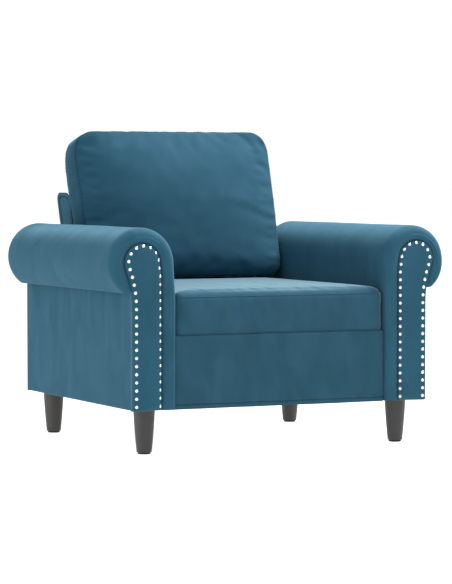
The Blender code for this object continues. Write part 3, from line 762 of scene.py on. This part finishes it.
def seam(name, line, radius=0.0009, closed=False):
    """The narrow ridge of cloth along a plain seam, as a thin tube along a line."""
    line = [Vector(p) for p in line]
    count = len(line)
    bm = bmesh.new()
    rings = []
    for i, spot in enumerate(line):
        before = line[i - 1] if i or closed else line[0]
        after = line[(i + 1) % count] if i < count - 1 or closed else line[-1]
        along = (after - before).normalized()
        across = (across - across.dot(along) * along if rings else along.orthogonal()).normalized()
        up = along.cross(across)
        ring = [spot + radius * (math.cos(t) * across + math.sin(t) * up) for t in once_round(6)]
        rings.append([bm.verts.new(spot) for spot in ring])
    join_rings(bm, rings + [rings[0]] if closed else rings, capped=not closed)
    return to_object(name, bm, 0)


def back_section():
    """The back's section in Y and Z, from its front foot, over its leaning top, to its rear foot."""
    corners = [v.co for v in nodes["back_cover"].data.vertices]
    front = min(p.y for p in corners)
    rear_foot = max(p.y for p in corners if p.z < low.z + 0.01)
    front_top = front + (top_z - FRONT_KNEE) * BACK_LEAN
    rear_top = rear_foot + (top_z - REAR_KNEE) * BACK_LEAN
    line = [(front, low.z), (front, FRONT_KNEE), (front_top, top_z), (rear_top, top_z)]
    return line + [(rear_foot, REAR_KNEE), (rear_foot, low.z)]


def back_ends(z):
    """Where the back's section starts and ends in Y, at a height."""
    return [float(np.interp(z, side[:, 1], side[:, 0])) for side in (fore, aft)]


low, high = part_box("back_cover")
top_z = high.z - 0.007  # the foam is rounded off under the cloth
section = rounded(back_section(), 0.014)
half = high.x
wrap = wrapped("back_cover_wrap", section[::-1], -half, half, BACK_EDGE, 0.0012, 11, 0.05)
fit_out(wrap, stroked_velvet, CHAIR, "velvet", "back_cover")
# The gussets: the same section drawn in by the edge's rounding, laid flat on each end.
arc_z = top_z - 0.016
heights = [low.z, *np.linspace(low.z + 0.004, arc_z, 50)]
heights += [arc_z + GUSSET_ARC * math.sin(a) for a in np.linspace(0, math.pi / 2, 7)[1:]]
line = np.array(section)
top_index = int(np.argmax(line[:, 1]))
fore, aft = line[: top_index + 1], line[top_index:][::-1]
for side, word in ((1, "right"), (-1, "left")):
    grid = []
    for z in heights:
        past_arc = max(0.0, (z - arc_z) / GUSSET_ARC)
        inset = 0.004 + 0.010 * (1 - math.sqrt(max(0.0, 1 - past_arc**2)))
        start, end = back_ends(z)
        start, length = start + inset, end - start - 2 * inset
        row = []
        for j in range(GUSSET_STEPS + 1):
            share = j / GUSSET_STEPS
            y = start + share * length
            drop = float(fall(min(share, 1 - share) * length, 0.003))
            row.append((side * (half - 0.0006 - drop + 0.0006 * wander((0, y, z), 4.0 * side)), y, z))
        grid.append(row)
    gusset = sheet_of(f"back_{word}_gusset", np.array(grid, float)[::side], 0.0012)
    fit_out(gusset, stroked_velvet, CHAIR, "velvet")
    line = []
    for y, z in section:
        if z > low.z + 0.002:
            inwards = SEAM_INSET if y < 0.5 * sum(back_ends(z)) else -SEAM_INSET
            line.append((side * (half - 0.0016), y + inwards, min(z, top_z - SEAM_INSET)))
    fit_out(seam(f"back_{word}_seam", line), stroked_velvet, CHAIR, "velvet")

# ---- Seat cushion ----
# A boxed cushion: a top and a bottom panel joined by a strip all round, over a foam block with a wrap of
# wadding. The panels are cut a little full, so the top ripples where the front seam holds it.
CROWN_REACH = 0.22  # how far in from the seams the top panel goes on rising
PRESSURE = 4.0  # of the filling on the cover
FRAMES = 20  # how long the cover takes to settle
SIDE_GAP = 0.001  # between a cushion and an arm
REST_GAP = 0.0004  # between a cushion and what it touches
SEAT_TOP = 0.4120
SEAT_SEAM = 0.386  # height of the top seam
PRESSED = 0.0050  # how far the back cushion presses the seat down


def around(shares, half_x, half_y, near, far):
    """Points at shares of the way round a rounded rectangle, from the middle of its right side, turning left.
    The corners on the near side and on the far side have radii of their own."""
    line = []
    for sx, sy, radius, first in ((1, 1, far, 0), (-1, 1, far, 90), (-1, -1, near, 180), (1, -1, near, 270)):
        for i in range(13):
            turn = math.radians(first + 90 * i / 12)
            centre = (sx * (half_x - radius), sy * (half_y - radius))
            line.append((centre[0] + radius * math.cos(turn), centre[1] + radius * math.sin(turn)))
    line = np.array([(half_x, 0.0), *line, (half_x, 0.0)])
    corner_at = [0, 7, 20, 33, 46, len(line) - 1]  # the square's corners are the middles of the arcs
    lengths = np.concatenate([[0], np.cumsum(np.linalg.norm(np.diff(line, axis=0), axis=1))])
    square_at = [0, 0.125, 0.375, 0.625, 0.875, 1.0]
    want = np.interp(shares, square_at, lengths[corner_at])
    return np.stack([np.interp(want, lengths, line[:, 0]), np.interp(want, lengths, line[:, 1])], -1)


def box_mesh(name, half_x, half_y, thick, near, far, crown, roll, spacing=0.0098):
    """A closed boxed cushion in its own frame, with its top panel up. The panel rolls over at its seam, by a
    height and a distance in, and rises to a crown. Returns the cushion and its two rings of seams."""
    nx, ny = (int(round(2 * half / spacing / 2)) * 2 for half in (half_x, half_y))
    nz = max(4, int(round(thick / spacing)))
    number, spots = {}, []

    def panel_spot(i, j):
        s, t = 2 * i / nx - 1, 2 * j / ny - 1
        ring = max(abs(s), abs(t))
        if ring < 1e-9:
            return 0.0, 0.0, 0.0
        s, t = s / ring, t / ring
        if s == 1:
            share = t / 8
        elif t == 1:
            share = 0.25 - s / 8
        elif s == -1:
            share = 0.5 - t / 8
        else:
            share = 0.75 + s / 8
        x, y = around(np.array([share % 1.0]), half_x, half_y, near, far)[0]
        ring = 1 - (1 - ring) ** 1.25  # closer together towards the seam
        return x * ring, y * ring, ring

    for layer in (0, nz):
        for i in range(nx + 1):
            for j in range(ny + 1):
                x, y, ring = panel_spot(i, j)
                number[(i, j, layer)] = len(spots)
                z = thick / 2 if layer else -thick / 2
                if layer and roll:
                    inset = min(half_x, half_y) * (1 - ring)
                    rise = crown * (1 - (1 - min(1.0, inset / CROWN_REACH)) ** 2.4)
                    z += rise + roll[0] * (1 - float(fall(inset, roll[1])) / roll[1])
                spots.append((x, y, z))
    rim = [(nx, j) for j in range(ny)] + [(i, ny) for i in range(nx, 0, -1)]
    rim += [(0, j) for j in range(ny, 0, -1)] + [(i, 0) for i in range(nx)]
    for k in range(1, nz):
        for i, j in rim:
            x, y, _ = spots[number[(i, j, 0)]]
            number[(i, j, k)] = len(spots)
            spots.append((x, y, thick * (k / nz - 0.5)))
    faces = []
    for i in range(nx):
        for j in range(ny):
            square = ((i, j), (i + 1, j), (i + 1, j + 1), (i, j + 1))
            faces.append([number[(a, b, nz)] for a, b in square])
            faces.append([number[(a, b, 0)] for a, b in reversed(square)])
    for k in range(nz):
        for (i, j), (p, q) in zip(rim, rim[1:] + rim[:1]):
            faces.append([number[(i, j, k)], number[(p, q, k)], number[(p, q, k + 1)], number[(i, j, k + 1)]])
    mesh = bpy.data.meshes.new(name)
    mesh.from_pydata(spots, [], faces)
    return linked(name, mesh), [[number[(i, j, layer)] for i, j in rim] for layer in (nz, 0)]


def points_of(made):
    """Where a piece's vertices are."""
    return np.array([v.co for v in made.data.vertices])


def blow_up(made, seams, spare, cap):
    """Inflates a cushion's cover as cloth. Its panels are larger than the frame of seams that holds them, by
    a spare share, so that they ripple where they meet it. No point moves further than the cap."""
    before = points_of(made)
    group = made.vertex_groups.new(name="seams")
    for ring in seams:
        group.add(ring, 1.0, "REPLACE")
    cloth = made.modifiers.new("cloth", "CLOTH")
    how = cloth.settings
    how.quality = 6
    how.mass = 0.3
    how.tension_stiffness = how.compression_stiffness = 20
    how.shear_stiffness = 10
    how.bending_stiffness = 0.8
    how.air_damping = 4
    how.use_pressure = True
    how.uniform_pressure_force = PRESSURE
    how.shrink_min = -spare
    how.vertex_group_mass = "seams"
    how.pin_stiffness = 1.0
    how.effector_weights.gravity = 0
    cloth.collision_settings.use_self_collision = False
    cloth.point_cache.frame_start, cloth.point_cache.frame_end = 1, FRAMES
    scene = bpy.context.scene
    for number in range(1, FRAMES + 1):
        scene.frame_set(number)
    after = points_of(made.evaluated_get(bpy.context.evaluated_depsgraph_get()))
    made.modifiers.clear()
    scene.frame_set(1)
    moved = after - before
    far = np.linalg.norm(moved, axis=1)[:, None]
    put(made, before + moved * np.minimum(1.0, cap / np.maximum(far, 1e-9)))


def put(made, spots):
    """Moves a piece's vertices."""
    made.data.vertices.foreach_set("co", np.ascontiguousarray(spots, float).ravel())
    made.data.update()


def subdivided(made):
    """One level of subdivision, applied. The old vertices keep their numbers."""
    made.modifiers.new("smooth", "SUBSURF").levels = 1
    settle(made)
    return points_of(made)


def pinch(spots, seams, depth, reach, centre):
    """Draws the cloth in along its seams, towards a point inside the cushion."""
    near = []
    on_seams = spots[seams[0] + seams[1]]
    for part in np.array_split(spots, 8):  # a part at a time keeps the table of distances small
        near.append(np.linalg.norm(part[:, None] - on_seams[None], axis=2).min(axis=1))
    near = np.concatenate(near)
    inwards = np.asarray(centre) - spots
    inwards /= np.linalg.norm(inwards, axis=1)[:, None]
    return spots + inwards * (depth * np.exp(-((near / reach) ** 2)))[:, None]


def filling(name, cover, inset, material, body, slot, stands_for):
    """What fills a cushion: the cover's own shape, drawn in all round."""
    made = linked(name, cover.data.copy())
    made.data.name = name
    put(made, [v.co - inset * v.normal for v in cover.data.vertices])
    fit_out(made, material, body, slot, stands_for)


def wrinkle(spots, start, end, width, height, out, bow=0.0):
    """One soft fold: a ridge with a hollow beside it, along a bowed line, fading at both ends."""
    start, end, out = np.array(start), np.array(end), np.array(out, float)
    along = end - start
    length = np.linalg.norm(along)
    along /= length
    across = np.cross(out, along)
    from_start = spots - start
    u = from_start @ along / length
    v = from_start @ across - bow * np.sin(np.pi * np.clip(u, 0, 1))
    deep = np.abs(from_start @ out) < 0.06
    fade = np.where((u > -0.15) & (u < 1.15), np.sin(np.pi * np.clip((u + 0.15) / 1.3, 0, 1)) ** 1.3, 0)
    ridge = np.exp(-((v / width) ** 2)) - 0.8 * np.exp(-(((v - 1.7 * width) / (1.2 * width)) ** 2))
    return spots + out * (height * ridge * fade * deep)[:, None]


# A copy of the same velvet for the seat with the strongest and palest sheen, which paints light on the top,
# so the top looks much paler edge on.
seat_velvet = velvet(
    "teal velvet, sheen painted paler", (15.0, 15.0, 15.0), "214757", "285166", 0.6, 1.0, "d0f6ff", 0.36
)
low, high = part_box("seat_cushion_cover")
centre = Vector((0, (low.y + high.y) / 2, (low.z + SEAT_SEAM) / 2))
seat, seams = box_mesh(
    "seat_cushion_velvet", inner_x - 0.0028, (high.y - low.y) / 2 - 0.0025, SEAT_SEAM - low.z - 0.002,
    0.010, 0.020, 0.009, (0.0130, 0.0045),
)
put(seat, [v.co + 0.0002 * Vector((0, 0, wander(v.co, 2, 40.0))) for v in seat.data.vertices])
blow_up(seat, seams, 0.004, 0.0040)
put(seat, points_of(seat) + np.array(centre))
spots = pinch(subdivided(seat), seams, 0.0016, 0.0045, centre)
# Folds that run back from the front seam: X at both ends, how far back they start and end, width, height.
for x0, x1, y0, y1, width, height in (
    (-0.120, -0.245, 0.012, 0.230, 0.0060, 0.0013), (-0.050, -0.190, 0.014, 0.290, 0.0065, 0.0014),
    (0.000, -0.085, 0.012, 0.150, 0.0055, 0.0010), (0.075, -0.020, 0.014, 0.210, 0.0060, 0.0012),
    (0.130, 0.060, 0.012, 0.120, 0.0055, 0.0009), (0.215, 0.120, 0.014, 0.200, 0.0060, 0.0011),
    (-0.195, -0.240, 0.012, 0.090, 0.0055, 0.0010),
):
    start, end = (x0, low.y + y0, 0.40), (x1, low.y + y1, 0.41)
    spots = wrinkle(spots, start, end, width, height, (0, 0, 1), 0.010)
# It falls away towards the arms, and at the rear the back cushion presses it down.
near_arm = np.clip((np.abs(spots[:, 0]) - 0.20) / 0.075, 0, 1) ** 2
spots[:, 2] -= 0.003 * near_arm * np.clip((spots[:, 2] - SEAT_SEAM) / 0.012, 0, 1)
roof = SEAT_TOP - PRESSED * np.clip((spots[:, 1] - 0.02) / 0.14, 0, 1)
spots[:, 2] = np.clip(spots[:, 2], low.z + REST_GAP, roof)
spots[:, 0] = np.clip(spots[:, 0], -inner_x + SIDE_GAP, inner_x - SIDE_GAP)
spots[:, 1] = np.minimum(spots[:, 1], high.y - REST_GAP)
put(seat, spots)
fit_out(seat, seat_velvet, "seat_cushion", "velvet", "seat_cushion_cover")
filling("seat_foam_block", seat, 0.0045, cut_foam, "seat_cushion", "foam", "seat_cushion_foam")
for ring, word in zip(seams, ("top", "bottom")):
    ridge = seam(f"seat_{word}_seam", spots[ring] + (spots[ring] - centre) * 0.003, closed=True)
    fit_out(ridge, seat_velvet, "seat_cushion", "velvet")

# ---- Back cushion ----
# A boxed cushion like the seat's, but blown with loose fibre, so it is fuller in the middle and softer at its
# edges. It stands on the seat cushion and leans on the back, and its own weight squeezes it at the foot.
HALF_WIDTH, HALF_HEIGHT, THICK = 0.2840, 0.192, 0.068  # of the box that is bent into the cushion
HIGHEST = 0.8040
# Height, front seam, rear seam, half widths at the front and rear seams, and how far the front swells.
LEVELS = (
    (0.412, 0.188, 0.232, 0.270, 0.276, 0.020),
    (0.428, 0.186, 0.243, 0.280, 0.282, 0.040),
    (0.455, 0.192, 0.256, 0.2845, 0.2845, 0.047),
    (0.500, 0.205, 0.2750, 0.2850, 0.2870, 0.052),
    (0.620, 0.237, 0.3145, 0.2865, 0.2915, 0.055),
    (0.700, 0.264, 0.3415, 0.2885, 0.2915, 0.051),
    (0.745, 0.279, 0.3460, 0.2890, 0.2900, 0.041),
    (0.770, 0.284, 0.3420, 0.2860, 0.2870, 0.030),
    (0.790, 0.286, 0.3340, 0.2830, 0.2840, 0.018),
    (0.8035, 0.286, 0.3260, 0.2800, 0.2810, 0.004),
)

# A darker copy of the velvet for the back cushion: its darker face is painted shade. Its nap was brushed
# downwards and evenly, so it is hardly clouded.
darkened_brushed_velvet = velvet(
    "teal velvet, brushed evenly, darkened as painted shade", (15.0, 15.0, 15.0), "1c4354", "214a5e", 0.5, 0.42, "86c8e4"
)
# The seam lies in a narrow valley where the pile stands on end, so it is nearly black.
# A nearly black copy of the velvet for thin tubes along the back cushion's seams: painted shade, standing in
# for the shadow in each seam's narrow valley.
shaded_velvet = velvet("teal velvet, painted seam shadow", (15.0, 15.0, 15.0), "0d1e26", "122832", 0.5, 0.05)
low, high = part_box("back_cushion_cover")
lean = math.radians(16.5)
face_out = np.array((0, -math.cos(lean), math.sin(lean)))
middle = np.array((0, 0.262, (low.z + high.z) / 2))
back, seams = box_mesh("back_cushion_velvet", HALF_WIDTH, HALF_HEIGHT, THICK, 0.020, 0.046, 0.0, None)
spots = []
level_heights, *levels = zip(*LEVELS)
for x, y, z in [v.co for v in back.data.vertices]:
    rise = (y / HALF_HEIGHT + 1) / 2
    share = 0.5 + z / THICK
    foot, top = LEVELS[0][0], 0.789 + 0.0145 * share
    height = foot + (top - foot) * rise
    fore, aft, fore_half, aft_half, swell = (np.interp(height, level_heights, level) for level in levels)
    half = aft_half + (fore_half - aft_half) * share
    x *= half / HALF_WIDTH
    y = aft + (fore - aft) * share - swell * share**2 * (1 - min(1.0, abs(x / half)) ** 2.6)
    spots.append(np.array((x, y, height)))
put(back, [spot + face_out * 0.0010 * wander(spot, 6, 30.0) for spot in spots])
blow_up(back, seams, 0.008, 0.009)
spots = pinch(subdivided(back), seams, 0.0030, 0.0045, middle)
# Short folds across both side seams of the face, at uneven heights and of uneven lengths.
for k in range(11):
    z = 0.455 + 0.029 * k
    for side in (-1, 1):
        jog = 0.008 * noise.noise(Vector((k * 3.1, side * 2.0, 0.5)))
        y = 0.205 + (z - 0.42) * 0.29
        reach = 0.050 + 0.030 * noise.noise(Vector((k * 1.7, side * 5.0, 2.5)))
        start = (side * 0.272, y, z + jog)
        end = (side * (0.272 - reach), y - 0.03, z + jog + 0.006 * side)
        spots = wrinkle(spots, start, end, 0.0055, 0.0008, face_out, 0.002)
# It leans on the back as high as that goes.
back_low, back_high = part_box("back_cover")
rear_y_at = back_low.y + np.maximum(0, spots[:, 2] - FRONT_KNEE) * BACK_LEAN - 0.0010
leaning = spots[:, 2] < back_high.z
spots[:, 1] = np.where(leaning, np.minimum(spots[:, 1], rear_y_at), spots[:, 1])
spots[:, 2] = np.clip(spots[:, 2], low.z + REST_GAP, HIGHEST)
# Between the arms it is as wide as the seat, and above them it spreads over their rolls.
over_roll = ROLL_RADIUS - np.sqrt(ROLL_RADIUS**2 - np.clip(spots[:, 2] - roll_z, 0, ROLL_RADIUS) ** 2)
room = inner_x - SIDE_GAP + over_roll
spots[:, 0] = np.clip(spots[:, 0], -room, room)
put(back, spots)
fit_out(back, darkened_brushed_velvet, "back_cushion", "velvet", "back_cushion_cover")
filling("back_fibre_fill", back, 0.0045, carded_fibre, "back_cushion", "fibre_fill", "back_cushion_fill")
# Each seam is a thin nearly black tube: a painted shadow line along the seam.
for ring, word in zip(seams, ("front", "rear")):
    ridge = seam(f"back_cushion_{word}_seam", spots[ring], 0.0013, closed=True)
    fit_out(ridge, shaded_velvet, "back_cushion", "velvet")

# ---- Zips ----
# Nylon coil zips sewn into the rear of the seat cushion and into the underside of the back cushion, so that
# the covers come off. Each has a small die-cast slider with a pull tab.
TOOTH = 0.0020  # spacing of the coil's turns along the zip, drawn twice as coarse as the real one to show

# Woven nylon tape: dark teal with a fine rib across it.
zip_nylon = streaked("woven nylon zip tape", "16323e", "1f4350", (1400.0, 300.0, 300.0), 0.6, 0.0002)
# Die-cast zinc: grey metal with a soft satin sheen.
die_cast = streaked("die-cast zinc", "9a9ea3", "b9bdc2", 600.0, 0.36, 0.00003, 1.0)


def ridged_zip(name, start, length, out, across):
    """A zip: a flat tape with two rows of teeth that meet along its middle."""
    bm = bmesh.new()

    def bar(x0, x1, a0, a1, h0, h1):
        corners = []
        for x in (x0, x1):
            for a, h in ((a0, h0), (a1, h0), (a1, h1), (a0, h1)):
                corners.append(bm.verts.new(start + Vector((x, 0, 0)) + across * a + out * h))
        for quad in ((0, 1, 2, 3), (7, 6, 5, 4), (0, 4, 5, 1), (1, 5, 6, 2), (2, 6, 7, 3), (3, 7, 4, 0)):
            bm.faces.new([corners[i] for i in quad])

    bar(0, length, -0.0040, 0.0040, -0.0004, 0.0002)
    for k in range(int(length / TOOTH)):
        side = 1 if k % 2 else -1
        x = (k + 0.5) * TOOTH
        bar(x - 0.0006, x + 0.0006, -0.0003 * side, 0.0019 * side, 0.0001, 0.0012)
    return to_object(name, bm, 30)


def slider(name, centre, out, across):
    """A zip slider: a waisted body with a bridge over it, and a flat tab that hangs from the bridge."""
    bm = bmesh.new()

    def plate(outline, h0, h1):
        rings = [[bm.verts.new(centre + Vector((u, 0, 0)) + across * a + out * h) for u, a in outline]
                 for h in (h0, h1)]
        join_rings(bm, rings)

    body = [(0.0048, -0.0030), (0.0052, -0.0018), (0.0052, 0.0018), (0.0048, 0.0030), (0.0, 0.0034)]
    body += [(-0.0038, 0.0026), (-0.0050, 0.0010), (-0.0050, -0.0010), (-0.0038, -0.0026), (0.0, -0.0034)]
    plate(body, 0.0004, 0.0012)
    plate([(0.0030, -0.0008), (0.0030, 0.0008), (-0.0030, 0.0008), (-0.0030, -0.0008)], 0.0010, 0.0024)
    tab = [(0.0006, -0.0012), (0.0010, 0.0012), (-0.0050, 0.0022)]
    tab += [(-0.0062, 0.0014), (-0.0062, -0.0014), (-0.0050, -0.0022)]
    plate(tab, 0.0024, 0.0031)
    return to_object(name, bm, 30)


for word, body, out, across in (
    ("seat", "seat_cushion", Vector((0, 1, 0)), Vector((0, 0, 1))),
    ("back", "back_cushion", Vector((0, 0, -1)), Vector((0, 1, 0))),
):
    low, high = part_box(f"{word}_cushion_zip")
    middle = (low + high) / 2
    outside = high.y + 0.0002 if word == "seat" else -(low.z - 0.0002)
    start = middle + out * (outside - middle.dot(out))
    start.x = low.x
    tape = ridged_zip(f"{word}_zip_teeth", start, high.x - low.x, out, across)
    fit_out(tape, zip_nylon, body, "zip_tape", f"{word}_cushion_zip")
    low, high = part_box(f"{word}_zip_slider")
    spot = (low + high) / 2
    spot += out * (outside - spot.dot(out))
    pull = slider(f"{word}_zip_pull_tab", spot, out, across)
    fit_out(pull, die_cast, f"{word}_zip_pull", "zinc_steel", f"{word}_zip_slider")

# ---- Studio ----
# A plain white floor that runs into a white surround, under one large soft light high over the right side,
# with a low strip light on the left.

# Matt white translucent acrylic, lit from below, so that it hardly takes a shadow.
lit_acrylic = streaked("lit matt white acrylic", "7c7c7c", "808080", 6.0, 0.9, 0.0001)
WHITE = (1.0, 1.0, 1.0, 1.0)
glow = lit_acrylic.node_tree.nodes["Principled BSDF"]
for socket, value in (("Emission Color", WHITE), ("Emission Strength", 1.0), ("Specular IOR Level", 0.0)):
    glow.inputs[socket].default_value = value
bpy.ops.mesh.primitive_plane_add(size=60)
floor = bpy.context.object
floor.name = "studio_floor"
floor.data.materials.append(lit_acrylic)

world = bpy.data.worlds.new("white surround")
bpy.context.scene.world = world
world.use_nodes = True
surround = world.node_tree.nodes["Background"]
surround.inputs["Color"].default_value = WHITE
surround.inputs["Strength"].default_value = 1.0


def soft_light(name, place, target, width, height, power):
    """A soft light that faces a point."""
    lamp = bpy.data.lights.new(name, "AREA")
    lamp.shape = "RECTANGLE"
    lamp.size, lamp.size_y = width, height
    lamp.energy = power
    made = linked(name, lamp)
    made.visible_camera = False
    aim(made, place, target)


def aim(made, place, target):
    """Puts a light or a camera at a place, facing a point."""
    made.location = place
    made.rotation_euler = (Vector(target) - Vector(place)).to_track_quat("-Z", "Y").to_euler()


soft_light("overhead softbox", (1.9, 0.12, 3.5), (0, 0, 0.4), 1.8, 1.8, 285)
soft_light("low left strip light", (-1.7, -0.1, 0.03), (-0.4, -0.05, 0.35), 1.6, 0.5, 9)

camera = linked("camera", bpy.data.cameras.new("camera"))
camera.data.lens = 160.1
camera.data.sensor_width = 36
aim(camera, (-2.912, -6.149, 0.683), (0.0039, -0.0465, 0.380))
bpy.context.scene.camera = camera
bpy.context.scene.view_settings.view_transform = "Standard"
